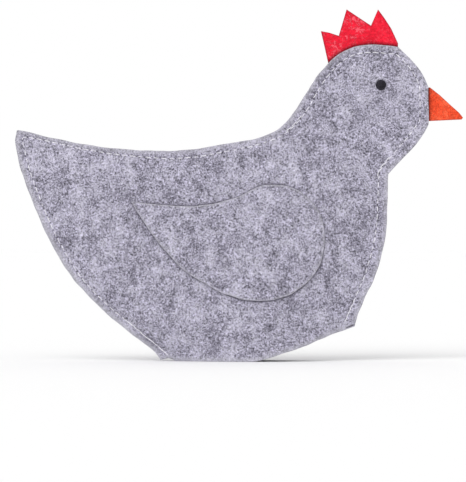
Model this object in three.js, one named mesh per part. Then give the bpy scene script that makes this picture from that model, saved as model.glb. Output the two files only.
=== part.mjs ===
// Egg cosy in the shape of a hen: two die-cut felt panels sewn together round their edge and
// open along the hem, with a comb and a beak caught in the seam and a wing and an eye glued on
// each side. It stands on its hem, slightly open. Millimetres, +Z up, +X towards the beak,
// front panel on the -Y side, origin on the surface under the middle of the box.
import * as THREE from "three";
import { mergeVertices } from "three/addons/utils/BufferGeometryUtils.js";

// thickness of each felt, the gap between pieces, and the gap under what lies on a panel,
// measured to its curve, so that the flats of the panel still clear it
const bodyFelt = 1.8;
const wingFelt = 1.6;
const trimFelt = 1.2;
const eyeFelt = 0.9;
const gap = 0.3;
const layGap = 0.5;

// how far the two panels stand open; skew moves the fullest place of the mouth towards the
// breast (positive) or the tail
const mouths = {
  front: { side: -1, depth: 11, skew: 0.15 },
  back: { side: 1, depth: 11, skew: -0.15 },
};
const closeHeight = 84;
const fallPower = 1.25;
const seamInset = 3.6;
const seamEase = 0.06;

// where comb and beak hold the two layers of the head apart
const combRoot = { from: [37, 117], to: [58, 117] };
const beakRoot = { from: [68, 94], to: [68, 103] };
const rootReach = 9;
const rootFade = 9;

// mesh steps; profileStep is in rows of the rib table
const profileStep = 0.25;
const columnStep = 5.5;
const ribLevels = [0, 0.03, 0.08, 0.16, 0.27, 0.39, 0.51, 0.63, 0.75, 0.85, 0.93, 0.975, 1];
const wingRings = [0.35, 0.62, 0.85, 1];
const wingSteps = 46;
const eyeRings = [1];
const eyeSides = 20;

// The panel's outline as ribs that run from the back of the hen down to its underside.
// Columns: top [x, z] on the back, crown and brow, and foot [x, z] on the tail side, hem,
// breast and throat. turn marks a row where that side has a corner.
const ribs = [
  { top: [-84.5, 88.0], foot: [-85.1, 84.0] },
  { top: [-80.5, 87.3], foot: [-84.4, 78.5] },
  { top: [-75.0, 85.8], foot: [-82.0, 70.0] },
  { top: [-68.0, 84.3], foot: [-77.6, 58.5] },
  { top: [-60.5, 82.8], foot: [-71.5, 45.0] },
  { top: [-53.0, 81.6], foot: [-63.2, 31.5] },
  { top: [-46.0, 80.8], foot: [-52.6, 20.0] },
  { top: [-39.5, 80.4], foot: [-41.0, 10.2] },
  { top: [-34.0, 80.1], foot: [-33.0, 4.1] },
  { top: [-31.5, 80.0], foot: [-30.0, 0.4], turn: "foot" },
  { top: [-29.0, 80.0], foot: [-27.2, 1.2], turn: "foot" },
  { top: [-26.0, 80.0], foot: [-24.0, 0.0], turn: "foot" },
  { top: [-16.5, 80.8], foot: [-8.5, 0.0] },
  { top: [-7.5, 82.3], foot: [5.0, 0.0] },
  { top: [-1.0, 83.4], foot: [14.0, 2.3] },
  { top: [5.0, 84.4], foot: [24.5, 5.8] },
  { top: [10.0, 86.0], foot: [34.5, 10.2] },
  { top: [14.5, 88.1], foot: [43.7, 13.2], turn: "foot" },
  { top: [17.8, 91.1], foot: [47.0, 22.7] },
  { top: [20.8, 94.9], foot: [51.5, 32.0] },
  { top: [23.6, 99.1], foot: [54.6, 42.5] },
  { top: [26.0, 102.9], foot: [56.0, 52.0] },
  { top: [28.4, 106.8], foot: [56.3, 62.0] },
  { top: [31.2, 110.5], foot: [56.6, 71.2], turn: "foot" },
  { top: [35.5, 115.0], foot: [60.0, 75.0] },
  { top: [41.5, 118.8], foot: [63.3, 78.3] },
  { top: [48.5, 120.4], foot: [66.3, 81.5] },
  { top: [55.5, 120.2], foot: [68.7, 84.5] },
  { top: [60.4, 119.6], foot: [70.3, 86.8], turn: "top" },
  { top: [65.0, 115.0], foot: [71.3, 88.6] },
  { top: [69.1, 109.4], foot: [71.9, 90.0] },
  { top: [71.9, 104.4], foot: [72.0, 91.3] },
];
const tailRows = [0, 9];
const breastRows = [17, 23];

// teardrop wing, from its tip along the top edge and back along the lower edge
const wingCentre = [4, 45];
const wingTip = [-41.3, 60.7];
const wingEdge = [
  wingTip, [-31.0, 59.6], [-20.5, 58.9], [-10.0, 59.9], [-1.0, 62.5], [7.0, 66.8], [14.0, 67.7],
  [21.0, 66.2], [27.0, 61.9], [31.0, 55.5], [32.4, 47.0], [31.2, 38.5], [27.0, 31.3], [20.0, 25.8],
  [11.5, 23.2], [3.0, 23.3], [-5.5, 25.6], [-14.0, 30.0], [-22.0, 35.4], [-29.0, 43.0],
  [-35.0, 50.8], wingTip,
];

// comb: three points above the crown, the root tucked between the panels
const combOutline = {
  root: [[60.3, 115.0], [57.0, 114.0], [36.5, 110.6]],
  leftFoot: [33.8, 113.4],
  leftPoint: [31.1, 125.3],
  leftValley: [37.8, 123.7],
  middlePoint: [40.7, 133.6],
  rightValley: [50.1, 127.6],
  rightPoint: [52.7, 133.6],
  rightSide: [[55.3, 130.3], [57.8, 126.4], [60.3, 120.8]],
};

// beak: tip, gently rounded upper edge and the root tucked into the face
const beakOutline = {
  tip: [85.1, 92.4],
  upperEdge: [[83.6, 94.7], [80.2, 97.6], [76.3, 101.2], [72.5, 104.2]],
  root: [[66.0, 102.5], [66.0, 93.2]],
  lowerEdge: [[72.0, 91.4]],
};

const eye = { at: [53.8, 105.1], radius: 2 };

const colours = {
  grey: 0xa8a4b5,
  red: 0xed3044,
  orange: 0xef5538,
  black: 0x312e36,
};

function felt(colour) {
  return new THREE.MeshStandardMaterial({ color: colour, roughness: 0.95, metalness: 0 });
}

// One side of the outline as a function of the row number: a smooth curve through the rows,
// broken at each corner.
function outlineSide(side) {
  const last = ribs.length - 1;
  const corners = [0, last];
  ribs.forEach((rib, row) => {
    if (rib.turn === side) corners.push(row);
  });
  corners.sort((a, b) => a - b);
  const stretches = [];
  for (let i = 0; i + 1 < corners.length; i += 1) {
    const rows = ribs.slice(corners[i], corners[i + 1] + 1);
    const curve = new THREE.SplineCurve(rows.map((rib) => new THREE.Vector2(...rib[side])));
    stretches.push({ from: corners[i], to: corners[i + 1], curve });
  }
  return (row) => {
    const stretch = stretches.find((s) => row <= s.to);
    return stretch.curve.getPoint((row - stretch.from) / (stretch.to - stretch.from));
  };
}

const topAt = outlineSide("top");
const undersideAt = outlineSide("foot");

// The underside, with the low stretch of the hem flat on the surface.
function footAt(row) {
  const point = undersideAt(row);
  point.y = Math.max(0, point.y);
  return point;
}

// A run of the underside as points sorted by height, for reading its x at any height.
function sideProfile([from, to], inset) {
  const points = [];
  for (let row = from; row <= to; row += profileStep) {
    const point = footAt(row);
    points.push([point.y, point.x + inset]);
  }
  return points.sort((a, b) => a[0] - b[0]);
}

const tailSeam = sideProfile(tailRows, seamInset);
const breastSeam = sideProfile(breastRows, -seamInset);

function readProfile(profile, height) {
  if (height <= profile[0][0]) return profile[0][1];
  for (let i = 1; i < profile.length; i += 1) {
    const [low, x0] = profile[i - 1];
    const [high, x1] = profile[i];
    if (height <= high) return x0 + ((x1 - x0) * (height - low)) / (high - low);
  }
  return profile[profile.length - 1][1];
}

// Share of the mouth's opening at a point of the panel: 0 at the seams and above the body,
// 1 near the middle of the hem, a lens in every level section.
function openness(skew, x, z) {
  const rise = Math.max(0, 1 - z / closeHeight);
  const tail = readProfile(tailSeam, z);
  const breast = readProfile(breastSeam, z);
  const across = (2 * x - tail - breast) / (breast - tail);
  const inward = Math.max(0, 1 - Math.abs(across));
  const eased = (inward * inward) / (inward + seamEase);
  return rise ** fallPower * eased * (2 - eased) * (1 + skew * across);
}

function distanceToRoot({ from, to }, x, z) {
  const root = new THREE.Line3(new THREE.Vector3(...from, 0), new THREE.Vector3(...to, 0));
  const point = new THREE.Vector3(x, z, 0);
  const nearest = root.closestPointToPoint(point, true, new THREE.Vector3());
  return nearest.distanceTo(point);
}

// Half the space between the two panels: pressed together at the seam, held apart where the
// comb or the beak lies between them, and open towards the mouth.
function innerHalf(mouth, x, z) {
  const reach = Math.min(distanceToRoot(combRoot, x, z), distanceToRoot(beakRoot, x, z));
  const held = 1 - THREE.MathUtils.smoothstep(reach, rootReach, rootReach + rootFade);
  const layers = gap / 2 + (trimFelt / 2 + gap / 2) * held;
  return layers + mouth.depth * openness(mouth.skew, x, z);
}

// A surface a given thickness further out, measured square to the cloth.
function offset(surface, thickness) {
  const step = 0.5;
  return (x, z) => {
    const slopeX = (surface(x + step, z) - surface(x - step, z)) / (2 * step);
    const slopeZ = (surface(x, z + step) - surface(x, z - step)) / (2 * step);
    return surface(x, z) + thickness * Math.sqrt(1 + slopeX ** 2 + slopeZ ** 2);
  };
}

// Closed sheet over a flat net: net.points are [x, z], net.faces are triangles that turn one
// way, net.rim is its edge in order. inner and outer give each face's distance from the middle
// plane, and side is -1 for the front of the hen and 1 for its back.
function sheet(net, inner, outer, side) {
  const positions = [];
  for (const surface of [inner, outer]) {
    for (const [x, z] of net.points) positions.push(x, side * surface(x, z), z);
  }
  const count = net.points.length;
  const index = [];
  const addFace = (a, b, c) => index.push(...(side < 0 ? [a, b, c] : [a, c, b]));
  for (const [a, b, c] of net.faces) {
    addFace(a, c, b);
    addFace(a + count, b + count, c + count);
  }
  net.rim.forEach((a, i) => {
    const b = net.rim[(i + 1) % net.rim.length];
    addFace(a, b, b + count);
    addFace(a, b + count, a + count);
  });
  const geometry = new THREE.BufferGeometry();
  geometry.setAttribute("position", new THREE.Float32BufferAttribute(positions, 3));
  geometry.setIndex(index);
  return mergeVertices(geometry);
}

// Rows between the listed ribs, so that neighbouring columns are about columnStep apart.
function columnRows() {
  const rows = [0];
  for (let row = 0; row + 1 < ribs.length; row += 1) {
    const topStep = topAt(row).distanceTo(topAt(row + 1));
    const footStep = footAt(row).distanceTo(footAt(row + 1));
    const parts = Math.ceil(Math.max(topStep, footStep) / columnStep);
    for (let i = 1; i <= parts; i += 1) rows.push(row + i / parts);
  }
  return rows;
}

// Net of the hen's outline: columns along the ribs, from the tail to the face.
function panelNet() {
  const points = [];
  const rows = columnRows();
  for (const row of rows) {
    const top = topAt(row);
    const foot = footAt(row);
    for (const level of ribLevels) {
      const point = top.clone().lerp(foot, level);
      points.push([point.x, point.y]);
    }
  }
  const deep = ribLevels.length;
  const faces = [];
  for (let column = 0; column + 1 < rows.length; column += 1) {
    for (let level = 0; level + 1 < deep; level += 1) {
      const a = column * deep + level;
      const b = a + 1;
      const c = a + deep + 1;
      const d = a + deep;
      faces.push([a, b, c], [a, c, d]);
    }
  }
  const rim = [];
  const lastColumn = rows.length - 1;
  for (let level = 0; level + 1 < deep; level += 1) rim.push(level);
  for (let column = 0; column < lastColumn; column += 1) rim.push(column * deep + deep - 1);
  for (let level = deep - 1; level > 0; level -= 1) rim.push(lastColumn * deep + level);
  for (let column = lastColumn; column > 0; column -= 1) rim.push(column * deep);
  return { points, faces, rim };
}

// Net of a round or teardrop piece: its edge, shrunk in rings towards a centre. The edge runs
// anticlockwise, seen from the front.
function ringNet(centre, edge, rings) {
  const points = [centre];
  for (const ring of rings) {
    for (const { x, y } of edge) {
      points.push([centre[0] + (x - centre[0]) * ring, centre[1] + (y - centre[1]) * ring]);
    }
  }
  const steps = edge.length;
  const faces = [];
  for (let i = 0; i < steps; i += 1) {
    const next = (i + 1) % steps;
    faces.push([0, 1 + i, 1 + next]);
    for (let ring = 0; ring + 1 < rings.length; ring += 1) {
      const a = 1 + ring * steps + i;
      const b = 1 + ring * steps + next;
      faces.push([a, a + steps, b + steps], [a, b + steps, b]);
    }
  }
  const lastRing = 1 + (rings.length - 1) * steps;
  return { points, faces, rim: edge.map((_, i) => lastRing + i) };
}

function wingNet() {
  const curve = new THREE.SplineCurve(wingEdge.map((point) => new THREE.Vector2(...point)));
  const edge = curve.getSpacedPoints(wingSteps).slice(0, wingSteps).reverse();
  return ringNet(wingCentre, edge, wingRings);
}

function eyeNet() {
  const circle = new THREE.EllipseCurve(...eye.at, eye.radius, eye.radius);
  return ringNet(eye.at, circle.getSpacedPoints(eyeSides).slice(0, eyeSides), eyeRings);
}

// Flat die-cut trim in the middle plane between the panels.
function trimGeometry(corners) {
  const shape = new THREE.Shape(corners.map((point) => new THREE.Vector2(...point)));
  const geometry = new THREE.ExtrudeGeometry(shape, { depth: trimFelt, bevelEnabled: false });
  geometry.rotateX(Math.PI / 2);
  geometry.translate(0, trimFelt / 2, 0);
  return geometry;
}

function named(name, geometry, colour) {
  const mesh = new THREE.Mesh(geometry, felt(colour));
  mesh.name = name;
  return mesh;
}

const hen = new THREE.Group();

// The panel of one side, and the wing and eye that lie on it.
for (const [label, mouth] of Object.entries(mouths)) {
  const panelInner = (x, z) => innerHalf(mouth, x, z);
  const layer = (net, from, thickness) => {
    const inner = from > 0 ? offset(panelInner, from) : panelInner;
    return sheet(net, inner, offset(panelInner, from + thickness), mouth.side);
  };
  const onPanel = bodyFelt + layGap;
  hen.add(named(`body_${label}`, layer(panelNet(), 0, bodyFelt), colours.grey));
  hen.add(named(`wing_${label}`, layer(wingNet(), onPanel, wingFelt), colours.grey));
  hen.add(named(`eye_${label}`, layer(eyeNet(), onPanel, eyeFelt), colours.black));
}

const combCorners = [
  ...combOutline.root,
  combOutline.leftFoot,
  combOutline.leftPoint,
  combOutline.leftValley,
  combOutline.middlePoint,
  combOutline.rightValley,
  combOutline.rightPoint,
  ...combOutline.rightSide,
];
hen.add(named("comb", trimGeometry(combCorners), colours.red));

const beakCorners = [
  beakOutline.tip,
  ...beakOutline.upperEdge,
  ...beakOutline.root,
  ...beakOutline.lowerEdge,
];
hen.add(named("beak", trimGeometry(beakCorners), colours.orange));

export default hen;
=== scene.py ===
import bpy
import numpy as np
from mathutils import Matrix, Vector


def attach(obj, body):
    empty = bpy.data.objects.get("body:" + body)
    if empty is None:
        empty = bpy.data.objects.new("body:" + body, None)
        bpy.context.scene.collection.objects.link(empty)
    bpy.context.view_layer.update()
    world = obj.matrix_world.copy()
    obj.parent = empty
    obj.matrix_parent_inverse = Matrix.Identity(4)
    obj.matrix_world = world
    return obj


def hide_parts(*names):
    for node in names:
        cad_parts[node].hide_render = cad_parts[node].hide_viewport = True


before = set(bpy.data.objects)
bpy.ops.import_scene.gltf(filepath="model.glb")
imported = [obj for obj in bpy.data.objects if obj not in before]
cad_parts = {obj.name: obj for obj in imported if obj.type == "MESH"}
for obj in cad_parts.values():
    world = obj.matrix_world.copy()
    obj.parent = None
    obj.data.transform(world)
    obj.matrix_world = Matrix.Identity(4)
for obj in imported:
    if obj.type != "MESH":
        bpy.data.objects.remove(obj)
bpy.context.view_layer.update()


# The camera stands level in front of the hen, square to its panel, as far off as for a product
# shot. A long lens frames the hen as the photograph does: a picture 183 mm high at the panel.
CAMERA_DISTANCE = 1.5
PICTURE_HEIGHT = 0.1832
PICTURE_CENTRE = Vector((-0.0025, -0.004, 0.0457))
SENSOR = 36.0

camera_data = bpy.data.cameras.new("level_camera")
camera_data.sensor_width = SENSOR
camera_data.lens = SENSOR * CAMERA_DISTANCE / PICTURE_HEIGHT
camera = bpy.data.objects.new("level_camera", camera_data)
camera.location = PICTURE_CENTRE - Vector((0, CAMERA_DISTANCE, 0))
camera.rotation_euler = (np.pi / 2, 0, 0)
bpy.context.scene.collection.objects.link(camera)
bpy.context.scene.camera = camera
bpy.context.scene.view_settings.view_transform = "Standard"


# A white studio: an even white surround, one large soft light from high on the left in front,
# and a pale floor that runs out to the horizon.
SURROUND = 0.78
LIGHT_WAY = Vector((0.3, 0.72, -0.6))
LIGHT_SPREAD = 0.8
LIGHT_STRENGTH = 1.46
FLOOR_REACH = 15.0
FLOOR_GREY = 0.96


def add_node(tree, kind, inputs=None, **settings):
    """A shader node with its settings, and its inputs filled by a value or linked to a socket."""
    made = tree.nodes.new(kind)
    for name, value in settings.items():
        setattr(made, name, value)
    for name, value in (inputs or {}).items():
        if isinstance(value, bpy.types.NodeSocket):
            tree.links.new(value, made.inputs[name])
        else:
            made.inputs[name].default_value = value
    return made


world = bpy.data.worlds.new("white_surround")
world.use_nodes = True
world.node_tree.nodes.clear()
light_path = add_node(world.node_tree, "ShaderNodeLightPath")
surround_strength = add_node(
    world.node_tree,
    "ShaderNodeMix",
    {"Factor": light_path.outputs["Is Camera Ray"], "A": SURROUND, "B": 1.0},
)
surround = add_node(
    world.node_tree,
    "ShaderNodeBackground",
    {"Color": (1, 1, 1, 1), "Strength": surround_strength.outputs["Result"]},
)
add_node(world.node_tree, "ShaderNodeOutputWorld", {"Surface": surround.outputs["Background"]})
bpy.context.scene.world = world

soft_light_data = bpy.data.lights.new("soft_light", "SUN")
soft_light_data.angle = LIGHT_SPREAD
soft_light_data.energy = LIGHT_STRENGTH
soft_light = bpy.data.objects.new("soft_light", soft_light_data)
soft_light.rotation_euler = LIGHT_WAY.to_track_quat("-Z", "Y").to_euler()
bpy.context.scene.collection.objects.link(soft_light)

floor_mesh = bpy.data.meshes.new("pale_floor")
floor_corners = FLOOR_REACH * np.array([(-1, -1, 0), (1, -1, 0), (1, 1, 0), (-1, 1, 0)], float)
floor_mesh.from_pydata(floor_corners, [], [(0, 1, 2, 3)])
floor = bpy.data.objects.new("pale_floor", floor_mesh)
floor_paint = bpy.data.materials.new("pale_floor")
floor_paint.use_nodes = True
floor_shader = floor_paint.node_tree.nodes["Principled BSDF"]
floor_shader.inputs["Base Color"].default_value = (FLOOR_GREY, FLOOR_GREY, FLOOR_GREY, 1)
floor_shader.inputs["Roughness"].default_value = 0.8
floor_mesh.materials.append(floor_paint)
bpy.context.scene.collection.objects.link(floor)


# The two hen panels, die cut from 1.8 mm grey melange felt: the same cut twice, sewn together
# round the edge and open along the hem. They stand a little open at the mouth and part round
# the roots of comb and beak, and the machine seam pulls a shallow groove into them.
MM = 0.001
BODY_FELT = 1.8
TRIM_FELT = 1.2
MOUTH_DEPTH = 11.0
MOUTH_SKEW = {"front": 0.15, "back": -0.15}
OUTWARD = {"front": -1, "back": 1}
CLOSE_HEIGHT = 84.0
FALL_POWER = 1.25
SIDE_INSET = 3.6
SIDE_EASE = 0.06
COMB_ROOT = np.array([(35.5, 112.8), (59.0, 117.2)])
COMB_ROOT_REACH = 5.4
BEAK_ROOT = np.array([(69.3, 93.0), (69.3, 103.0)])
BEAK_ROOT_REACH = 3.7
ROOT_FADE = 4.0
PRESSED_GAP = 0.02

# Ribs run from the hen's back down to its underside: the outline's points on both sides.
RIBS = np.array(
    [
        (-84.5, 88.0, -85.1, 84.0),
        (-80.5, 87.3, -84.4, 78.5),
        (-75.0, 85.8, -82.0, 70.0),
        (-68.0, 84.3, -77.6, 58.5),
        (-60.5, 82.8, -71.5, 45.0),
        (-53.0, 81.6, -63.2, 31.5),
        (-46.0, 80.8, -52.6, 20.0),
        (-39.5, 80.4, -41.0, 10.2),
        (-34.0, 80.1, -33.0, 4.1),
        (-31.5, 80.0, -30.0, 0.4),
        (-29.0, 80.0, -27.2, 1.2),
        (-26.0, 80.0, -24.0, 0.0),
        (-16.5, 80.8, -8.5, 0.0),
        (-7.5, 82.3, 5.0, 0.0),
        (-1.0, 83.4, 14.0, 2.3),
        (5.0, 84.4, 24.5, 5.8),
        (10.0, 86.0, 34.5, 9.8),
        (14.5, 88.1, 43.7, 13.2),
        (17.8, 91.1, 47.0, 22.7),
        (20.8, 94.9, 51.5, 32.0),
        (23.6, 99.1, 54.6, 42.5),
        (26.0, 102.9, 56.0, 52.0),
        (28.4, 106.8, 56.3, 62.0),
        (31.2, 110.5, 56.6, 71.2),
        (35.5, 115.0, 60.0, 75.0),
        (41.5, 118.8, 63.3, 78.3),
        (48.5, 120.4, 66.3, 81.5),
        (55.5, 120.2, 68.7, 84.5),
        (60.4, 119.6, 70.3, 86.8),
        (65.0, 115.0, 71.3, 88.6),
        (69.4, 109.6, 71.9, 90.0),
        (71.9, 104.4, 72.0, 91.3),
    ],
    dtype=[("top_x", float), ("top_z", float), ("foot_x", float), ("foot_z", float)],
)
TURNS = {"top": [28], "foot": [9, 10, 11, 17, 23]}
LAST_RIB = len(RIBS) - 1
TAIL_ROWS = (0, 9)
BREAST_ROWS = (17, 23)

# The seam's distance in from the cut edge. Places are counted in ribs along the outline: from
# -9 at the hem up the tail side, from 0 along the back and crown, from 31 down face and breast.
SEAM_INSETS = np.array(
    [
        (-9, 3.4),
        (-8.2, 2.4),
        (-7.4, 2.35),
        (-7, 2.75),
        (-5.5, 2.45),
        (-4.5, 2.65),
        (-0.8, 2.9),
        (0, 2.2),
        (0.3, 2.6),
        (1.9, 1.6),
        (5, 1.95),
        (7.2, 2.55),
        (12, 3.1),
        (14, 2.7),
        (15.4, 2.4),
        (16.5, 2.6),
        (19.2, 3.7),
        (21.7, 3.3),
        (25.1, 2.8),
        (27.4, 3.1),
        (28.5, 2.4),
        (29.4, 2.4),
        (31, 3.3),
        (34.2, 4.2),
        (36.9, 4.0),
        (38.5, 3.5),
        (42.7, 4.0),
        (44, 3.2),
        (45, 4.2),
    ],
    dtype=[("place", float), ("inset", float)],
)
STITCH = 3.0
PATH_STEP = 0.4
SEAM_CLEARANCE = 0.96
SEAM_SMOOTHING = 7
SEAM_END = 0.5
OFF_SEAM = 9
GROOVE_DEPTH = 0.38
GROOVE_WIDTH = 0.6
GROOVE_SWING = 0.2
EDGE_FLARE = 0.14
FLARE_REACH = 2.2

# How pale the felt has worn along the cut edge, by place. A band says how far in from the edge
# the pale starts to fade, and where it ends. Under the comb the line is narrower and paler.
PALE_BAND = (0.2, 2.3)
COMB_PALE = 0.8
COMB_PALE_BAND = (0.1, 0.6)
COMB_PLACES = (23.3, 28.1)
PALE_EDGE = np.array(
    [
        (-9, 0.7),
        (0, 0.7),
        (1, 0.55),
        (9, 0.5),
        (15, 0.4),
        (19, 0.6),
        (23, 0.4),
        (28, 0.3),
        (36, 0.3),
        (38, 0.5),
        (44, 0.5),
        (45, 0.6),
        (53, 0.6),
    ],
    dtype=[("place", float), ("pale", float)],
)

# The back panel shows past the front one at the tail, and by less and less from the first x to
# the second. Painted shade draws a dark slit between the panels at the breast end of the hem.
BACK_PANEL_PEEK = 0.45
PEEK_FADE = (-80.0, -30.0)
HEM_SLIT = np.array([(40.4, 12.65), (43.3, 13.8)])

# The cut edge is square with a worn arris. PANEL_COLUMN and PANEL_LEVELS set the mesh.
RIM_STEPS = 6
RIM_SQUARENESS = 3.0
PANEL_RIM = 0.5
PANEL_COLUMN = 0.74
PANEL_LEVELS = 82
LEVEL_GRADING = 2.2
SMALLEST_SINE = 0.3

# How far the real felt strays from the pattern, and over what lengths. Below HEM_LEVEL it
# strays less and less up or down, as the hem stands on the surface.
UNEVEN_EDGE = 0.12
EDGE_WAVE = 8.0
HEM_LEVEL = 3.0
UNEVEN_THICKNESS = 0.09
THICKNESS_WAVE = 9.0
UNEVEN_STAND = 0.3
STAND_WAVE = 55.0


def smooth_run(points, place):
    """Catmull-Rom curve through the points at the given places, counted in points. The first
    and last point stand in for their missing neighbours."""
    last = len(points) - 1
    whole = np.clip(np.floor(place).astype(int), 0, last - 1)
    part = (place - whole)[:, None]
    here = points[whole]
    after = points[whole + 1]
    leave = (after - points[np.maximum(whole - 1, 0)]) / 2
    arrive = (points[np.minimum(whole + 2, last)] - here) / 2
    square = 3 * (after - here) - 2 * leave - arrive
    cube = 2 * (here - after) + leave + arrive
    return here + part * (leave + part * (square + part * cube))


def outline_side(side, rows):
    """Points [x, z] of the outline on one side of the ribs at any row numbers: smooth runs that
    meet at the corners, and never below the surface the hen stands on."""
    listed = np.stack([RIBS[side + "_x"], RIBS[side + "_z"]], axis=-1)
    corners = [0, *TURNS[side], LAST_RIB]
    found = np.empty((len(rows), 2))
    for start, end in zip(corners, corners[1:]):
        inside = (rows >= start) & (rows <= end)
        found[inside] = smooth_run(listed[start : end + 1], rows[inside] - start)
    found[:, 1] = np.maximum(found[:, 1], 0)
    return found


def even_path(columns, step):
    """The same path with its points a step apart. The first two columns are x and z, and any
    others are carried along."""
    lengths = np.hypot(*np.diff(columns[:, :2], axis=0).T)
    arc = np.concatenate([[0], np.cumsum(lengths)])
    at = np.linspace(0, arc[-1], round(arc[-1] / step) + 1)
    return np.column_stack([np.interp(at, arc, column) for column in columns.T])


def unit(vectors):
    """The same directions with length one."""
    return vectors / np.linalg.norm(vectors, axis=-1, keepdims=True)


def nearest_on(path, x, z):
    """How far along the path the nearest point to each given point lies, how far across it the
    given point is, positive to the right of the path, and how far past the path's ends."""
    block_size = 1000
    points = np.column_stack([np.ravel(x), np.ravel(z)])
    forward = unit(np.gradient(path, axis=0))
    blocks = np.array_split(points, len(points) // block_size + 1)
    distances = (np.hypot(b[:, :1] - path[:, 0], b[:, 1:] - path[:, 1]) for b in blocks)
    nearest = np.concatenate([block.argmin(axis=1) for block in distances])
    offset = points - path[nearest]
    step = np.hypot(*(path[1] - path[0]))
    along = step * nearest + (offset * forward[nearest]).sum(axis=1)
    across = offset[:, 0] * forward[nearest, 1] - offset[:, 1] * forward[nearest, 0]
    past = np.maximum(0, np.maximum(-along, along - step * (len(path) - 1)))
    return tuple(found.reshape(np.shape(x)) for found in (along, across, past))


def cut_edge():
    """The whole outline as a path, clockwise from the tail end of the hem, with each point's
    place in ribs."""
    row_step = 0.02
    rows = np.arange(0, LAST_RIB + row_step / 2, row_step)
    tail_rows = rows[rows <= TAIL_ROWS[1]][::-1]
    under_rows = rows[rows >= TAIL_ROWS[1]][::-1]
    sides = (("foot", tail_rows), ("top", rows), ("foot", under_rows))
    points = np.concatenate([outline_side(side, run) for side, run in sides])
    places = np.concatenate([-tail_rows, rows, 2 * LAST_RIB - under_rows])
    return even_path(np.column_stack([points, places]), PATH_STEP)


EDGE = cut_edge()


def seam_path():
    """The seam: the cut edge moved inwards, without the loops that this makes at corners, and
    softened as a machine follows it."""
    sewn = EDGE[EDGE[:, 2] <= 2 * LAST_RIB - BREAST_ROWS[0]]
    inset = np.interp(sewn[:, 2], SEAM_INSETS["place"], SEAM_INSETS["inset"])
    forward = unit(np.gradient(sewn[:, :2], axis=0))
    inward = np.column_stack([forward[:, 1], -forward[:, 0]])
    moved = sewn[:, :2] + inset[:, None] * inward
    clear = np.array([np.hypot(*(EDGE[:, :2] - point).T).min() for point in moved])
    moved = even_path(moved[clear > SEAM_CLEARANCE * inset], PATH_STEP)
    ends = (SEAM_SMOOTHING // 2, SEAM_SMOOTHING // 2)
    padded = np.pad(moved, (ends, (0, 0)), mode="reflect", reflect_type="odd")
    window = np.ones(SEAM_SMOOTHING) / SEAM_SMOOTHING
    softened = np.column_stack([np.convolve(line, window, "valid") for line in padded.T])
    return even_path(softened, PATH_STEP)


SEAM = seam_path()
SEAM_LENGTH = np.hypot(*np.diff(SEAM, axis=0).T).sum()
STITCH_COUNT = round(SEAM_LENGTH / STITCH)
STITCH_PITCH = SEAM_LENGTH / STITCH_COUNT


def side_profile(rows, inset, height):
    """x of a run of the underside, moved by inset, read at any height."""
    row_step = 0.25
    points = outline_side("foot", np.arange(rows[0], rows[1] + row_step / 2, row_step))
    points = points[np.argsort(points[:, 1])]
    return np.interp(height, points[:, 1], points[:, 0] + inset)


def distance_to_root(root, x, z):
    """Distance from points to a straight root line."""
    along = root[1] - root[0]
    share = ((x - root[0, 0]) * along[0] + (z - root[0, 1]) * along[1]) / (along @ along)
    share = np.clip(share, 0, 1)
    return np.hypot(x - root[0, 0] - share * along[0], z - root[0, 1] - share * along[1])


def smooth_step(value, start, end):
    """0 before start, 1 after end, and a soft S between them."""
    share = np.clip((value - start) / (end - start), 0, 1)
    return share * share * (3 - 2 * share)


def mouth_space(label, x, z):
    """Half of the mouth's opening: a lens across each level section, from seam to seam, which
    widens towards the hem."""
    tail = side_profile(TAIL_ROWS, SIDE_INSET, z)
    breast = side_profile(BREAST_ROWS, -SIDE_INSET, z)
    across = (2 * x - tail - breast) / (breast - tail)
    inward = np.maximum(0, 1 - np.abs(across))
    eased = inward**2 / (inward + SIDE_EASE)
    rise = np.maximum(0, 1 - z / CLOSE_HEIGHT) ** FALL_POWER
    return MOUTH_DEPTH * rise * eased * (2 - eased) * (1 + MOUTH_SKEW[label] * across)


def half_space(label, x, z):
    """Half the space between the panels: the mouth's lens, and the room that the roots of comb
    and beak take. Beside the roots the seam draws the panels together again."""
    from_comb = distance_to_root(COMB_ROOT, x, z) - COMB_ROOT_REACH
    from_beak = distance_to_root(BEAK_ROOT, x, z) - BEAK_ROOT_REACH
    held = 1 - smooth_step(np.minimum(from_comb, from_beak), 0, ROOT_FADE)
    return PRESSED_GAP + TRIM_FELT / 2 * held + mouth_space(label, x, z)


def soft_hills(x, z, length, seed):
    """Gentle random hills between about -1 and 1: plane waves of about one length, in seeded
    directions."""
    waves = 9
    tallest = 4
    draw = np.random.default_rng(seed)
    heading = draw.uniform(0, 2 * np.pi, waves)
    phase = draw.uniform(0, 2 * np.pi, waves)
    turns = 2 * np.pi / (length * draw.uniform(0.7, 1.5, waves))
    way = x[..., None] * np.cos(heading) + z[..., None] * np.sin(heading)
    return np.cos(turns * way + phase).sum(axis=-1) / tallest


def stand_shift(x, z):
    """The small unevenness with which the whole cosy stands, shared by all its layers."""
    return UNEVEN_STAND * soft_hills(x, z, STAND_WAVE, seed=3)


def outer_face(label, x, z):
    """Distance of a panel's outer face from the middle of the cosy, without the seam: the half
    space, and the felt's thickness measured square to the cloth."""
    step = 0.5
    slope_x = (half_space(label, x + step, z) - half_space(label, x - step, z)) / (2 * step)
    slope_z = (half_space(label, x, z + step) - half_space(label, x, z - step)) / (2 * step)
    uneven = UNEVEN_THICKNESS * soft_hills(x, z, THICKNESS_WAVE, seed=11 + OUTWARD[label])
    felt = BODY_FELT + uneven
    return half_space(label, x, z) + felt * np.sqrt(1 + slope_x**2 + slope_z**2)


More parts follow.
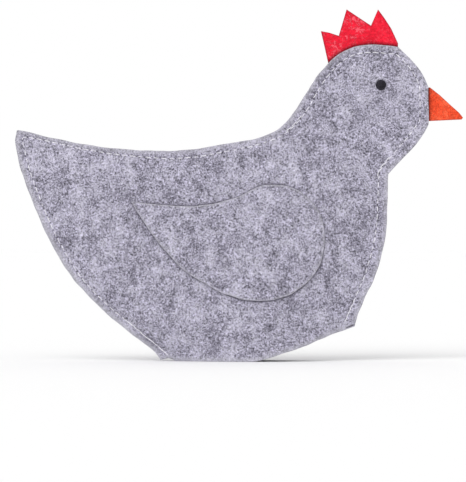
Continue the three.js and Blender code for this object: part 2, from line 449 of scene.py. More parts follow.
def groove(along, across, past):
    """Depth of the seam's groove: a soft trough, deepest at the needle holes."""
    far = np.hypot(across, past) / GROOVE_WIDTH
    pull = 1 - GROOVE_SWING + GROOVE_SWING * np.cos(2 * np.pi * along / STITCH_PITCH)
    return GROOVE_DEPTH * pull * np.exp(-(far**2))


def rim_profile(radius):
    """Distances in from the cut edge and shares of the thickness, round a squarish quarter
    from the middle of the edge to the face."""
    angle = np.linspace(0, np.pi / 2, RIM_STEPS + 1)
    power = 2 / RIM_SQUARENESS
    return radius * (1 - np.cos(angle) ** power), np.sin(angle) ** power


def sine_between(way, along):
    """Sine of the angle between two fields of directions, kept from falling too low."""
    way = unit(way)
    along = unit(along)
    return np.maximum(np.abs(way[:, 0] * along[:, 1] - way[:, 1] * along[:, 0]), SMALLEST_SINE)


def panel_rows(depth):
    """Row numbers of a panel's columns: rim steps at the tail tip and at the face, and even
    columns between them, clear of both, that meet every listed rib."""
    tail_clear = 1.2
    face_clear = 0.1
    listed = np.arange(LAST_RIB + 1.0)
    top_steps = np.hypot(*np.diff(outline_side("top", listed), axis=0).T)
    foot_steps = np.hypot(*np.diff(outline_side("foot", listed), axis=0).T)
    counts = np.ceil(np.maximum(top_steps, foot_steps) / PANEL_COLUMN).astype(int)
    runs = [row + np.arange(count) / count for row, count in enumerate(counts)]
    tail_rim = depth / top_steps[0]
    face_rim = LAST_RIB - depth[::-1] / top_steps[-1]
    plain = np.concatenate(runs)
    plain = plain[(plain > tail_clear * tail_rim[-1]) & (plain < face_rim[0] - face_clear)]
    return np.concatenate([tail_rim, plain, face_rim]), len(plain)


def panel_grid():
    """Points [x, z] of a panel on a grid of columns along the ribs, and at each the share of
    the thickness: rim steps at all four sides, and finer levels towards the edges."""
    depth, share = rim_profile(PANEL_RIM)
    rows, plain_rows = panel_rows(depth)
    row_share = np.concatenate([share, np.ones(plain_rows), share[::-1]])
    top = outline_side("top", rows)
    foot = outline_side("foot", rows)
    rib = foot - top
    length = np.hypot(*rib.T)[:, None]
    fit = np.minimum(1, length[:, 0] / (4 * PANEL_RIM / SMALLEST_SINE))
    upper = depth * (fit / sine_between(rib, np.gradient(top, axis=0)))[:, None]
    lower = length - depth[::-1] * (fit / sine_between(rib, np.gradient(foot, axis=0)))[:, None]
    spread = np.tanh(LEVEL_GRADING * np.linspace(-1, 1, PANEL_LEVELS + 1)[1:-1])
    spread = (1 + spread / np.tanh(LEVEL_GRADING)) / 2
    plain = upper[:, -1:] + (lower[:, :1] - upper[:, -1:]) * spread
    down = np.concatenate([upper, plain, lower], axis=1) / length
    level_share = np.concatenate([share, np.ones(len(spread)), share[::-1]])
    plane = top[:, None] + rib[:, None] * down[..., None]
    return plane, np.minimum(row_share[:, None], level_share[None])


def grid_faces(index, closed_round):
    """Quads between neighbouring columns and levels of a grid of point numbers."""
    here = index if closed_round else index[:-1]
    beside = np.roll(index, -1, axis=0) if closed_round else index[1:]
    corners = (here[:, :-1], here[:, 1:], beside[:, 1:], beside[:, :-1])
    return np.stack(corners, axis=-1).reshape(-1, 4)


def add_piece(name, vertices, faces, material):
    """A smooth mesh object from points in millimetres, at the origin, riding on the body."""
    mesh = bpy.data.meshes.new(name)
    mesh.from_pydata(vertices * MM, [], faces)
    mesh.polygons.foreach_set("use_smooth", np.ones(len(mesh.polygons), bool))
    mesh.materials.append(material)
    piece = bpy.data.objects.new(name, mesh)
    bpy.context.scene.collection.objects.link(piece)
    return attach(piece, "root")


def add_mark(piece, mark, values):
    """A number for each point of a piece, which its material reads by name."""
    attribute = piece.data.attributes.new(mark, "FLOAT", "POINT")
    attribute.data.foreach_set("value", values.astype(np.float32))


def add_felt(name, plane, share, front_y, back_y, material, **marks):
    """A closed sheet of felt over a grid of [x, z] points. front_y and back_y give its two
    faces, which meet in the middle of the cut edge, where share is 0. A grid whose last level
    is one point is a round piece: its columns close, and that level is a pole. Each mark is a
    named number for every point of the grid."""
    pole_spread = 1e-9
    closed_round = np.ptp(plane[:, -1], axis=0).max() < pole_spread
    middle = (front_y + back_y) / 2
    half = (back_y - front_y) / 2 * share
    points = [np.stack([plane[..., 0], middle + way * half, plane[..., 1]], -1) for way in (-1, 1)]
    vertices = np.concatenate(points).reshape(-1, 3)
    front_index = np.arange(share.size).reshape(share.shape)
    if closed_round:
        front_index[:, -1] = front_index[0, -1]
    back_index = np.where(share > 0, front_index + share.size, front_index)
    front_faces = grid_faces(front_index, closed_round)
    back_faces = grid_faces(back_index, closed_round)[:, ::-1]
    used, faces = np.unique(np.concatenate([front_faces, back_faces]), return_inverse=True)
    faces = faces.reshape(-1, 4)
    at_pole = faces[:, 1] == faces[:, 2]
    face_list = faces[~at_pole].tolist() + faces[at_pole][:, [0, 1, 3]].tolist()
    piece = add_piece(name, vertices[used], face_list, material)
    for mark, values in marks.items():
        add_mark(piece, mark, np.concatenate([values, values]).ravel()[used])
    return piece


# The melange felt's pattern, shared by every felt of the hen with its own values.
def add_socket(group, name, kind, way="INPUT"):
    """A named socket on a shader node group."""
    return group.interface.new_socket(name=name, in_out=way, socket_type="NodeSocket" + kind)


def noise(tree, vector, scale, detail, twist=0.0):
    """Noise with about the given number of waves to the unit of its vector."""
    values = {
        "Vector": vector,
        "Scale": scale,
        "Detail": detail,
        "Roughness": 0.6,
        "Distortion": twist,
    }
    return add_node(tree, "ShaderNodeTexNoise", values).outputs["Fac"]


def between(tree, value, low, high, to_low=0.0, to_high=1.0):
    """A soft S from one value to another while the given value runs from low to high."""
    values = {
        "Value": value,
        "From Min": low,
        "From Max": high,
        "To Min": to_low,
        "To Max": to_high,
    }
    made = add_node(tree, "ShaderNodeMapRange", values, interpolation_type="SMOOTHSTEP")
    return made.outputs["Result"]


def work(tree, operation, first, second=0.0):
    """One sum on one or two numbers."""
    made = add_node(tree, "ShaderNodeMath", {0: first, 1: second}, operation=operation)
    return made.outputs["Value"]


def blend(tree, factor, first, second, kind="MIX"):
    """Two colours mixed, or one multiplied by the other."""
    mix = add_node(tree, "ShaderNodeMix", data_type="RGBA", blend_type=kind)
    for name, value in (("Factor_Float", factor), ("A_Color", first), ("B_Color", second)):
        socket = next(s for s in mix.inputs if s.identifier == name)
        if isinstance(value, bpy.types.NodeSocket):
            tree.links.new(value, socket)
        else:
            socket.default_value = value
    return next(s for s in mix.outputs if s.identifier == "Result_Color")


# Waves to the millimetre of clouds, tufts and grain, and of the noise that gathers the fibres.
CLOUD_WAVES = 0.09
TUFT_WAVES = 0.29
TUFT_TWIST = 0.6
GRAIN_WAVES = 1.45
GATHER_WAVES = 0.16
GATHER_TWIST = 0.4
GATHER_STRENGTH = 0.44
FIBRE_HEADINGS = (0.35, 1.45, 2.5)
FIBRE_TWIST = 0.7
DARK_FIBRES = (0.60, 0.68)
PALE_FIBRES = (0.42, 0.34)


def melange_group():
    """Felted wool. Its shade swings in broad clouds, in tufts and in a fine grain. Dark and pale
    fibres cross it: noise drawn out along one heading and kept only where it is high or low,
    laid at three headings, and gathered where a slower noise is high."""
    group = bpy.data.node_groups.new("melange_felt", "ShaderNodeTree")
    add_socket(group, "Vector", "Vector")
    for name in ("Ground", "Dark wool", "Pale wool"):
        add_socket(group, name, "Color")
    for name in ("Clouds", "Tufts", "Grain"):
        add_socket(group, name, "Float")
    for name in ("Dark share", "Pale share", "Fibre length", "Fibre width"):
        add_socket(group, name, "Float")
    add_socket(group, "Color", "Color", "OUTPUT")
    add_socket(group, "Height", "Float", "OUTPUT")
    given = add_node(group, "NodeGroupInput").outputs
    place = {0: given["Vector"], "Scale": 1 / MM}
    place = add_node(group, "ShaderNodeVectorMath", place, operation="SCALE").outputs["Vector"]
    swings = {
        "Clouds": noise(group, place, CLOUD_WAVES, 2),
        "Tufts": noise(group, place, TUFT_WAVES, 2, TUFT_TWIST),
        "Grain": noise(group, place, GRAIN_WAVES, 1),
    }
    shade = 1.0
    for name, swing in swings.items():
        swing = work(group, "MULTIPLY", work(group, "SUBTRACT", swing, 0.5), given[name])
        shade = work(group, "ADD", swing, shade)
    gathered = noise(group, place, GATHER_WAVES, 2, GATHER_TWIST)
    crowd = work(group, "MULTIPLY", work(group, "SUBTRACT", gathered, 0.5), GATHER_STRENGTH)
    size = {"X": given["Fibre length"], "Y": given["Fibre width"], "Z": given["Fibre width"]}
    fibre_size = add_node(group, "ShaderNodeCombineXYZ", size).outputs["Vector"]
    dark = 0.0
    pale = 0.0
    for heading in FIBRE_HEADINGS:
        turned = {"Vector": place, "Angle": heading}
        turned = add_node(group, "ShaderNodeVectorRotate", turned, rotation_type="Y_AXIS")
        drawn = {0: turned.outputs["Vector"], 1: fibre_size}
        drawn = add_node(group, "ShaderNodeVectorMath", drawn, operation="DIVIDE")
        strands = noise(group, drawn.outputs["Vector"], 1.0, 2, FIBRE_TWIST)
        strands = work(group, "ADD", strands, crowd)
        dark = work(group, "MAXIMUM", between(group, strands, *DARK_FIBRES), dark)
        pale = work(group, "MAXIMUM", between(group, strands, *PALE_FIBRES), pale)
    dark = work(group, "MULTIPLY", dark, given["Dark share"])
    pale = work(group, "MULTIPLY", pale, given["Pale share"])
    shades = {"Red": shade, "Green": shade, "Blue": shade}
    shades = add_node(group, "ShaderNodeCombineColor", shades).outputs["Color"]
    colour = blend(group, 1.0, given["Ground"], shades, "MULTIPLY")
    colour = blend(group, pale, colour, given["Pale wool"])
    colour = blend(group, dark, colour, given["Dark wool"])
    height = work(group, "SUBTRACT", work(group, "ADD", pale, shade), dark)
    add_node(group, "NodeGroupOutput", {"Color": colour, "Height": height})
    return group


MELANGE = melange_group()


def srgb(red, green, blue):
    """A colour given as screen values up to 255, as the linear values a shader takes."""
    screen = np.array([red, green, blue]) / 255
    linear = np.where(screen > 0.04045, ((screen + 0.055) / 1.055) ** 2.4, screen / 12.92)
    return (*linear.tolist(), 1.0)


def read_mark(tree, mark):
    """The number that a piece's points carry under a name."""
    return add_node(tree, "ShaderNodeAttribute", attribute_name=mark).outputs["Fac"]


# Painted shade in a needle hole is darkest up to the first distance from its middle, and ends
# at the second.
HOLE_FADE = (0.112, 0.364)
HOLE_DARKNESS = 0.85
HOLE_SHADE_COLOUR = srgb(70, 66, 78)


def needle_hole_shade(tree, colour):
    """The colour with painted shade in a hole at every stitch end, and painted shade in the slit at
    the hem's corner. The marks along and across are distances from the seam's start and from its
    line, and slit is the distance from the slit, in millimetres."""
    to_hole = work(tree, "PINGPONG", read_mark(tree, "along"), STITCH_PITCH / 2)
    reach = add_node(tree, "ShaderNodeCombineXYZ", {"X": to_hole, "Y": read_mark(tree, "across")})
    reach = add_node(tree, "ShaderNodeVectorMath", {0: reach.outputs["Vector"]}, operation="LENGTH")
    reach = work(tree, "MINIMUM", reach.outputs["Value"], read_mark(tree, "slit"))
    hole = between(tree, reach, *HOLE_FADE, HOLE_DARKNESS, 0.0)
    return blend(tree, hole, colour, HOLE_SHADE_COLOUR)


# Height of the felt's relief, how dark the painted shade in a crease gets, and the pattern's
# turn, in radians for each metre of shift.
FELT_RELIEF = 0.3
CREASE_SHADE_STRENGTH = 0.8
PATTERN_TURN = 10.0


def felt_material(
    name, wool, rim=None, crease_shade=None, reach=0.8, sewn=False, brushed=False, shift=0.0, sheen=0.2
):
    """A matt felt: the melange pattern with the wool's own values, a soft sheen and relief. The
    mark rim blends in the rim colour: pale fibre ends on grey felt, with a painted highlight on
    the wing, and painted shade on comb and beak. The mark tuck is the distance out from a line
    where one felt goes under another: up to reach, it brings in the painted shade of that crease.
    The mark brushed is the share of the pale fibres that show. shift, in metres, moves the
    pattern and turns it with PATTERN_TURN, so that it doesn't run on from piece to piece."""
    material = bpy.data.materials.new(name)
    material.use_nodes = True
    tree = material.node_tree
    shader = tree.nodes["Principled BSDF"]
    shader.inputs["Roughness"].default_value = 0.95
    shader.inputs["Specular IOR Level"].default_value = 0.2
    shader.inputs["Sheen Weight"].default_value = sheen
    shader.inputs["Sheen Roughness"].default_value = 0.5
    place = add_node(tree, "ShaderNodeTexCoord").outputs["Object"]
    turn = (0, PATTERN_TURN * shift, 0)
    moved = {"Vector": place, "Location": (shift, 0, shift), "Rotation": turn}
    place = add_node(tree, "ShaderNodeMapping", moved).outputs["Vector"]
    pattern = add_node(tree, "ShaderNodeGroup", {}, node_tree=MELANGE)
    tree.links.new(place, pattern.inputs["Vector"])
    for socket, value in wool.items():
        pattern.inputs[socket].default_value = value
    if brushed:
        showing = work(tree, "MULTIPLY", read_mark(tree, "brushed"), wool["Pale share"])
        tree.links.new(showing, pattern.inputs["Pale share"])
    bumps = {"Height": pattern.outputs["Height"], "Distance": FELT_RELIEF * MM, "Strength": 1.0}
    normal = add_node(tree, "ShaderNodeBump", bumps).outputs["Normal"]
    tree.links.new(normal, shader.inputs["Normal"])
    colour = pattern.outputs["Color"]
    if rim:
        colour = blend(tree, read_mark(tree, "rim"), colour, rim)
    if crease_shade:
        shadow = between(tree, read_mark(tree, "tuck"), 0.0, reach, CREASE_SHADE_STRENGTH, 0.0)
        colour = blend(tree, shadow, colour, crease_shade)
    if sewn:
        colour = needle_hole_shade(tree, colour)
    tree.links.new(colour, shader.inputs["Base Color"])
    return material


# Pale fibre ends at the cut edge; on the wing they also stand for a painted highlight.
EDGE_PALE_AND_HIGHLIGHT = srgb(196, 194, 204)
# Painted shade for creases in the grey felt, where one felt goes under another.
GREY_CREASE_SHADE = srgb(104, 100, 114)
GREY_WOOL = {
    "Ground": srgb(173, 169, 188),
    "Dark wool": srgb(70, 66, 80),
    "Pale wool": srgb(222, 219, 234),
    "Clouds": 0.1,
    "Tufts": 0.85,
    "Grain": 3.2,
    "Dark share": 0.58,
    "Pale share": 0.46,
    "Fibre length": 1.35,
    "Fibre width": 0.5,
}
grey_felt = felt_material("grey_felt", GREY_WOOL, rim=EDGE_PALE_AND_HIGHLIGHT, crease_shade=GREY_CREASE_SHADE, sewn=True)

panels = {}
for label, outward in OUTWARD.items():
    plane, share = panel_grid()
    plane_x = plane[..., 0]
    plane_z = plane[..., 1]
    lifted = smooth_step(plane_z, 0, HEM_LEVEL)
    worn_x = UNEVEN_EDGE * soft_hills(plane_x, plane_z, EDGE_WAVE, seed=21 + outward)
    worn_z = UNEVEN_EDGE * soft_hills(plane_x, plane_z, EDGE_WAVE, seed=31 + outward) * lifted
    if label == "back":
        worn_x -= BACK_PANEL_PEEK * (1 - smooth_step(plane_x, *PEEK_FADE)) * lifted
    along, across, past = nearest_on(SEAM, plane_x, plane_z)
    edge_along, edge_depth, _ = nearest_on(EDGE[:, :2], plane_x, plane_z)
    edge_depth = np.abs(edge_depth)
    edge_place = np.interp(edge_along, PATH_STEP * np.arange(len(EDGE)), EDGE[:, 2])
    sewn = edge_place < 2 * LAST_RIB - BREAST_ROWS[0]
    flare = EDGE_FLARE * np.maximum(0, 1 - edge_depth / FLARE_REACH) ** 2 * sewn
    worn_pale = np.interp(edge_place, PALE_EDGE["place"], PALE_EDGE["pale"])
    pale = worn_pale * (1 - smooth_step(edge_depth, *PALE_BAND))
    by_comb = (edge_place > COMB_PLACES[0]) & (edge_place < COMB_PLACES[1])
    comb_pale = COMB_PALE * (1 - smooth_step(edge_depth, *COMB_PALE_BAND))
    pale = np.maximum(pale, comb_pale * by_comb)
    inner = half_space(label, plane_x, plane_z) + flare
    outer = outer_face(label, plane_x, plane_z) + flare - groove(along, across, past)
    shift = stand_shift(plane_x, plane_z)
    faces_y = sorted([shift + outward * outer, shift + outward * inner], key=np.mean)
    worn = np.stack([plane_x + worn_x, np.maximum(0, plane_z + worn_z)], axis=-1)
    # Distance to the slit at the hem's corner, which gets painted shade.
    slit = distance_to_root(HEM_SLIT, plane_x, plane_z)
    beside_seam = np.where(past > SEAM_END, OFF_SEAM, across)
    sewing = {"along": along, "across": beside_seam, "slit": slit}
    panel = add_felt(f"{label}_panel", worn, share, *faces_y, grey_felt, rim=pale, **sewing)
    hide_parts(f"body_{label}")
    panels[label] = panel


# The wings: one rounded teardrop of the same grey felt on each side, laid with its grain another
# way and glued flat to the panel, with no sewing. The cut edge stands up as a thin pale line of
# fibre ends and painted highlight, and painted shade darkens the crease round it on the panel.
WING_FELT = 1.45
WING_GLUE = 0.05
WING_RIM = 0.4
WING_COLUMN = 0.6
WING_RINGS = 34
# How strong and how wide the pale line of fibre ends and painted highlight at the wing's edge is.
WING_PALE_AND_HIGHLIGHT = 0.7
WING_PALE_AND_HIGHLIGHT_BAND = (0.1, 0.65)
WING_CENTRE = np.array([4.0, 45.0])

# The edge runs clockwise from the tip, which points at the tail, and back to it.
WING_EDGE = np.array(
    [
        (-41.3, 60.7),
        (-31.0, 59.6),
        (-20.5, 58.9),
        (-10.0, 59.9),
        (-1.0, 62.4),
        (7.0, 66.2),
        (14.0, 67.1),
        (21.0, 65.6),
        (26.7, 61.3),
        (30.8, 55.2),
        (32.3, 47.0),
        (31.2, 38.5),
        (27.0, 31.3),
        (20.0, 25.8),
        (11.5, 23.2),
        (3.0, 23.3),
        (-5.5, 25.6),
        (-14.0, 30.0),
        (-22.0, 35.4),
        (-29.0, 43.0),
        (-35.0, 50.8),
        (-41.3, 60.7),
    ]
)

# The painted shade in the crease under the edge is narrower in some places than others. Places
# are counted in points of the edge, and shut says by how many millimetres the shade is narrower.
WING_CREASE_SHADE = np.array(
    [
        (0, 0.4),
        (1.2, 0),
        (3.4, 0),
        (4.2, 0.2),
        (5, -0.1),
        (6.2, -0.1),
        (7.2, 0.4),
        (9, 0.3),
        (11, 0.25),
        (13, 0),
        (15.4, 0),
        (16.3, 0.35),
        (18, 0.2),
        (20.4, 0),
        (21, 0.1),
    ],
    dtype=[("place", float), ("shut", float)],
)


def round_grid(edge, centre, rim_radius, rings):
    """Points [x, z] of a piece on columns that run straight from its closed cut edge to its
    centre: rim steps first, set square to the edge, then even rings. With them come the share
    of the thickness and the distance in from the edge."""
    depth, share = rim_profile(rim_radius)
    edge = edge[:-1]
    ray = centre - edge
    length = np.hypot(*ray.T)[:, None]
    tangent = np.roll(edge, -1, axis=0) - np.roll(edge, 1, axis=0)
    slant = sine_between(ray, tangent)[:, None]
    rim = depth / slant / length
    inner = rim[:, -1:] + (1 - rim[:, -1:]) * np.linspace(0, 1, rings + 1)[1:]
    down = np.concatenate([rim, inner], axis=1)
    plane = edge[:, None] + ray[:, None] * down[..., None]
    shares = np.broadcast_to(np.concatenate([share, np.ones(rings)]), down.shape)
    return plane, shares, down * length * slant


def outside_of(path, piece):
    """How far outside a clockwise path each point of a piece lies, seen from the front, and how
    far along it. The path may have a sharp corner where it ends and starts."""
    points = np.empty(3 * len(piece.data.vertices), np.float32)
    piece.data.vertices.foreach_get("co", points)
    x, _, z = points.reshape(-1, 3).T / MM
    along, across, past = nearest_on(path, x, z)
    return np.where(past > 0, np.hypot(across, past), -across), along


grey_wing_felt = felt_material("grey_wing_felt", GREY_WOOL, rim=EDGE_PALE_AND_HIGHLIGHT, shift=0.11)
fine_steps = 900
wing_places = np.linspace(0, len(WING_EDGE) - 1, fine_steps)
wing_path = np.column_stack([smooth_run(WING_EDGE, wing_places), wing_places])
wing_path = even_path(wing_path, WING_COLUMN)
wing_edge = wing_path[:, :2]
shut = np.interp(wing_path[:, 2], WING_CREASE_SHADE["place"], WING_CREASE_SHADE["shut"])
for label, outward in OUTWARD.items():
    plane, share, depth = round_grid(wing_edge, WING_CENTRE, WING_RIM, WING_RINGS)
    plane_x = plane[..., 0]
    plane_z = plane[..., 1]
    under = outer_face(label, plane_x, plane_z) + WING_GLUE
    uneven = UNEVEN_THICKNESS * soft_hills(plane_x, plane_z, THICKNESS_WAVE, seed=41 + outward)
    over = under + WING_FELT + uneven
    shift = stand_shift(plane_x, plane_z)
    faces_y = sorted([shift + outward * over, shift + outward * under], key=np.mean)
    worn_x = UNEVEN_EDGE * soft_hills(plane_x, plane_z, EDGE_WAVE, seed=51 + outward)
    worn_z = UNEVEN_EDGE * soft_hills(plane_x, plane_z, EDGE_WAVE, seed=61 + outward)
    worn = plane + np.stack([worn_x, worn_z], axis=-1)
    # Pale fibre ends and a painted highlight along the wing's cut edge.
    pale = WING_PALE_AND_HIGHLIGHT * (1 - smooth_step(depth, *WING_PALE_AND_HIGHLIGHT_BAND))
    wing = add_felt(f"{label}_wing", worn, share, *faces_y, grey_wing_felt, rim=pale)
    # The panel carries the distance out from the wing's edge, for painted shade in the crease round
    # the wing.
    outside, along = outside_of(wing_edge, panels[label])
    outside += np.interp(along, WING_COLUMN * np.arange(len(shut)), shut)
    add_mark(panels[label], "tuck", outside)
    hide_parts(f"wing_{label}")


# The eyes: a round dot of thin, dense near-black felt, punched out and glued on each side.
EYE_CENTRE = np.array([53.8, 105.1])
EYE_RADIUS = 2.0
EYE_SUNK = 0.25
EYE_PROUD = 0.4
EYE_RIM = 0.3
EYE_COLUMNS = 72
EYE_RINGS = 12
BLACK_WOOL = {
    "Ground": srgb(44, 41, 51),
    "Dark wool": srgb(20, 18, 24),
    "Pale wool": srgb(80, 76, 90),
    "Clouds": 0.4,
    "Tufts": 0.6,
    "Grain": 2.0,
    "Dark share": 0.5,
    "Pale share": 0.35,
    "Fibre length": 0.9,
    "Fibre width": 0.22,
}
black_felt = felt_material("black_felt", BLACK_WOOL, sheen=0.05)

for label, outward in OUTWARD.items():
    turn = -np.linspace(0, 2 * np.pi, EYE_COLUMNS + 1)
    eye_edge = EYE_CENTRE + EYE_RADIUS * np.stack([np.cos(turn), np.sin(turn)], axis=-1)
    plane, share, depth = round_grid(eye_edge, EYE_CENTRE, EYE_RIM, EYE_RINGS)
    skin = outer_face(label, plane[..., 0], plane[..., 1])
    shift = stand_shift(plane[..., 0], plane[..., 1])
    faces_y = [shift + outward * (skin + EYE_PROUD), shift + outward * (skin - EYE_SUNK)]
    eye = add_felt(f"{label}_eye", plane, share, *sorted(faces_y, key=np.mean), black_felt)
    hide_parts(f"eye_{label}")


# The comb: three points cut from thin red felt, brushed paler in streaks. Its root lies between
# the panels and is caught by the seam, and its points lean back a little.
TRIM_RIM = 0.28
# How dark the painted shade on the trims' cut edge gets, and how far in it reaches.
TRIM_RIM_SHADE = 0.8
TRIM_RIM_REACH = 0.6
COMB_COLUMN = 0.3
COMB_RINGS = 30
COMB_CENTRE = np.array([47.5, 117.0])
COMB_LEAN = 0.8
COMB_LEAN_FROM = 119.0
COMB_HEIGHT = 14.6
COMB_EDGE = np.array(
    [
        (60.3, 115.0),
        (57.5, 112.6),
        (37.5, 109.2),
        (33.8, 113.4),
        (31.0, 125.7),
        (34.2, 125.1),
        (37.8, 123.9),
        (40.8, 134.0),
        (50.1, 127.8),
        (52.8, 134.0),
        (55.3, 130.6),
        (57.8, 126.7),
        (60.4, 121.0),
        (60.3, 115.0),
    ]
)
COMB_BRUSHED = 0.35
COMB_BRUSHED_TO = (45.0, 53.0)
# Painted shade on the red felt's cut edge and in the crease at its root.
RED_RIM_SHADE = srgb(150, 20, 44)
RED_CREASE_SHADE = srgb(84, 6, 18)
RED_WOOL = {
    "Ground": srgb(230, 28, 53),
    "Dark wool": srgb(208, 12, 36),
    "Pale wool": srgb(255, 112, 128),
    "Clouds": 0.3,
    "Tufts": 0.6,
    "Grain": 0.6,
    "Dark share": 0.4,
    "Pale share": 0.55,
    "Fibre length": 1.8,
    "Fibre width": 0.8,
}


def straight_sides(corners, step):
    """A closed outline of straight sides, each divided evenly so that the corners stay sharp."""
    sides = [even_path(np.array(side), step)[:-1] for side in zip(corners, corners[1:])]
    return np.concatenate([*sides, corners[:1]])


def add_trim(name, outline, centre, rings, lean, material):
    """A thin felt piece with straight sides whose root lies between the panels: round_grid's
    rings, half the felt each side of the cosy's middle, moved back by lean. Painted shade darkens
    its rim and the crease where it goes under the panels, and pale fibres show less towards the
    front of the head."""
    plane, share, depth = round_grid(outline, centre, TRIM_RIM, rings)
    middle = stand_shift(plane[..., 0], plane[..., 1]) + lean(plane[..., 1])
    # Painted shade along the trim's cut edge.
    rim = TRIM_RIM_SHADE * (1 - smooth_step(depth, 0, TRIM_RIM_REACH))
    faces_y = (middle - TRIM_FELT / 2, middle + TRIM_FELT / 2)
    brushed = 1 - (1 - COMB_BRUSHED) * smooth_step(plane[..., 0], *COMB_BRUSHED_TO)
    piece = add_felt(name, plane, share, *faces_y, material, rim=rim, brushed=brushed)
    # The trim's distance out from the panels' edge, for painted shade where it goes under them.
    add_mark(piece, "tuck", outside_of(EDGE[:, :2], piece)[0])
    return piece


red_felt = felt_material(
    "red_felt", RED_WOOL, RED_RIM_SHADE, RED_CREASE_SHADE, reach=1.7, brushed=True, shift=0.09, sheen=0.05
)
comb = add_trim(
    "felt_comb",
    straight_sides(COMB_EDGE, COMB_COLUMN),
    COMB_CENTRE,
    COMB_RINGS,
    lambda z: COMB_LEAN * smooth_step(z, COMB_LEAN_FROM, COMB_LEAN_FROM + COMB_HEIGHT),
    red_felt,
)
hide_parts("comb")


# The beak: one pointed piece of thin orange-red felt, its root caught in the seam of the face.
BEAK_COLUMN = 0.3
BEAK_RINGS = 24
BEAK_CENTRE = np.array([73.5, 97.0])
BEAK_EDGE = np.array(
    [
        (66.0, 93.2),
        (66.0, 102.5),
        (72.5, 104.3),
        (76.3, 101.3),
        (80.2, 97.7),
        (83.7, 94.6),
        (85.2, 92.7),
        (84.6, 92.0),
        (72.0, 91.4),
        (66.0, 93.2),
    ]
)
# Painted shade on the orange felt's cut edge and in the crease at its root.
ORANGE_RIM_SHADE = srgb(200, 74, 52)
ORANGE_CREASE_SHADE = srgb(84, 34, 32)
ORANGE_WOOL = {
    "Ground": srgb(246, 82, 46),
    "Dark wool": srgb(220, 58, 22),
    "Pale wool": srgb(255, 128, 88),
    "Clouds": 0.3,
    "Tufts": 0.5,
    "Grain": 0.4,
    "Dark share": 0.5,
    "Pale share": 0.4,
    "Fibre length": 1.2,
    "Fibre width": 0.5,
}
orange_felt = felt_material(
    "orange_felt", ORANGE_WOOL, ORANGE_RIM_SHADE, ORANGE_CREASE_SHADE, reach=1.2, sheen=0.05
)
beak = add_trim(
    "felt_beak",
    straight_sides(BEAK_EDGE, BEAK_COLUMN),
    BEAK_CENTRE,
    BEAK_RINGS,
    np.zeros_like,
    orange_felt,
)
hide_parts("beak")


# The seam: one row of white machine stitches, 3 mm each, through both panels and the roots of
# comb and beak. It is sewn twice for a few stitches at the hem, at the nape and at the throat.
THREAD_RADIUS = 0.155
THREAD_SIDES = 8
THREAD_RINGS = 13
THREAD_TOP = 0.03
THREAD_BURIED = 0.8
THREAD_ARCH = 4
THREAD_SLANT = 0.05
THREAD_WANDER = 0.06
PLY_DEPTH = 0.16
PLY_TURNS = 2.5
THREAD_SHADE = srgb(210, 207, 217)
THREAD_LIGHT = srgb(242, 241, 246)
THREAD_TONE_WAVES = 900
THREAD_TONE_BAND = (0.3, 0.7)

# Stretches sewn twice: start and end along the seam, and how far the second row lies aside.
SEWN_TWICE = np.array(
    [
        (-2.7, 0.3, 0.02),
        (-1.5, 19.5, 0.08),
        (202.9, 211.9, -0.5),
        (305.1, 314.1, 0.4),
        (362.2, 372.0, -0.12),
    ],
    dtype=[("start", float), ("end", float), ("aside", float)],
)


def seam_place(arc, aside):
    """Points [x, z] at distances along the seam, moved aside to its right. Past its ends the
    seam runs straight on."""
    arcs = np.linspace(0, SEAM_LENGTH, len(SEAM))
    inside = np.clip(arc, 0, SEAM_LENGTH)
    way = unit(np.gradient(SEAM, axis=0))
    line = np.stack([np.interp(inside, arcs, column) for column in SEAM.T], axis=-1)
    ahead = np.stack([np.interp(inside, arcs, column) for column in way.T], axis=-1)
    right = np.stack([ahead[..., 1], -ahead[..., 0]], axis=-1)
    return line + (arc - inside)[..., None] * ahead + aside[..., None] * right


def stitch_holes():
    """Start, end and distance aside of every stitch: the whole row, then the doubled runs, whose
    holes fall between the first ones."""
    holes = STITCH_PITCH * np.arange(STITCH_COUNT + 1)
    rows = [np.stack([holes[:-1], holes[1:], np.zeros(STITCH_COUNT)])]
    for start, end, aside in SEWN_TWICE:
        count = round((end - start) / STITCH_PITCH)
        holes = start + (end - start) / count * np.arange(count + 1)
        rows.append(np.stack([holes[:-1], holes[1:], np.full(count, aside)]))
    return np.concatenate(rows, axis=1)


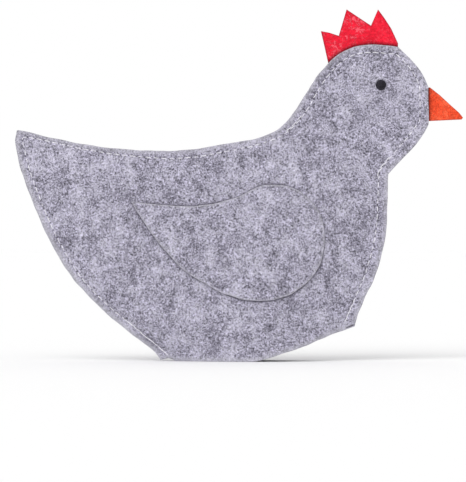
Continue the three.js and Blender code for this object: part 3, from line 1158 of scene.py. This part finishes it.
def stitch_tubes(label):
    """Vertices and faces of every stitch on one panel. Each is a tube of two plied threads whose
    middle follows the seam, arched over the cloth between two holes: it lies on the groove and
    dives at both ends as the fourth power of the distance from its middle. The doubled stitches
    lie on top of the first ones. The tube's radius swings twice round the section, and that
    swing turns along the thread as the ply does."""
    outward = OUTWARD[label]
    draw = np.random.default_rng(70 + outward)
    start, end, aside = stitch_holes()
    wander = THREAD_WANDER * draw.standard_normal((3, len(start), 1))
    share = np.linspace(0, 1, THREAD_RINGS)
    arc = start[:, None] + (end - start)[:, None] * share
    off = aside[:, None] + wander[0] / 2 + (THREAD_SLANT + wander[1] / 2) * (2 * share - 1)
    plane = seam_place(arc, off)
    plane_x = plane[..., 0]
    plane_z = plane[..., 1]
    skin = outer_face(label, plane_x, plane_z) - groove(*nearest_on(SEAM, plane_x, plane_z))
    dive = (THREAD_TOP + THREAD_BURIED) * np.abs(2 * share - 1) ** THREAD_ARCH
    lift = THREAD_TOP + wander[2] - dive
    lift[STITCH_COUNT:] += THREAD_RADIUS
    depth = stand_shift(plane_x, plane_z) + outward * (skin + lift)
    centre = np.stack([plane_x, depth, plane_z], axis=-1)
    forward = unit(np.gradient(centre, axis=1))
    sideways = unit(np.cross(forward, [0, outward, 0]))
    upward = np.cross(sideways, forward)
    turn = 2 * np.pi * np.arange(THREAD_SIDES) / THREAD_SIDES
    twist = 2 * np.pi * PLY_TURNS * share[:, None]
    radius = THREAD_RADIUS * (1 + PLY_DEPTH * np.cos(2 * (turn - twist)))[..., None]
    round_way = (
        np.cos(turn)[:, None] * upward[:, :, None] + np.sin(turn)[:, None] * sideways[:, :, None]
    )
    rings = centre[:, :, None] + radius * round_way
    poles = centre[:, [0, -1]]
    vertices = np.concatenate([rings.reshape(len(start), -1, 3), poles], axis=1)
    index = np.arange(THREAD_RINGS * THREAD_SIDES).reshape(THREAD_RINGS, THREAD_SIDES)
    beside = np.roll(index, -1, axis=1)
    quads = np.stack([index[:-1], beside[:-1], beside[1:], index[1:]], axis=-1).reshape(-1, 4)
    first_pole = np.full(THREAD_SIDES, THREAD_RINGS * THREAD_SIDES)
    caps = np.concatenate(
        [
            np.stack([first_pole, beside[0], index[0]], axis=-1),
            np.stack([first_pole + 1, index[-1], beside[-1]], axis=-1),
        ]
    )
    offset = vertices.shape[1] * np.arange(len(start))[:, None, None]
    faces = (quads + offset).reshape(-1, 4).tolist() + (caps + offset).reshape(-1, 3).tolist()
    return vertices.reshape(-1, 3), faces


def thread_material():
    """Off-white spun thread: matt, a little uneven in tone."""
    material = bpy.data.materials.new("white_thread")
    material.use_nodes = True
    tree = material.node_tree
    shader = tree.nodes["Principled BSDF"]
    shader.inputs["Roughness"].default_value = 0.7
    shader.inputs["Sheen Weight"].default_value = 0.3
    place = add_node(tree, "ShaderNodeTexCoord").outputs["Object"]
    tone = between(tree, noise(tree, place, THREAD_TONE_WAVES, 2), *THREAD_TONE_BAND)
    colour = blend(tree, tone, THREAD_SHADE, THREAD_LIGHT)
    tree.links.new(colour, shader.inputs["Base Color"])
    return material


white_thread = thread_material()
for label, panel in panels.items():
    stitches = add_piece(f"{label}_stitches", *stitch_tubes(label), white_thread)
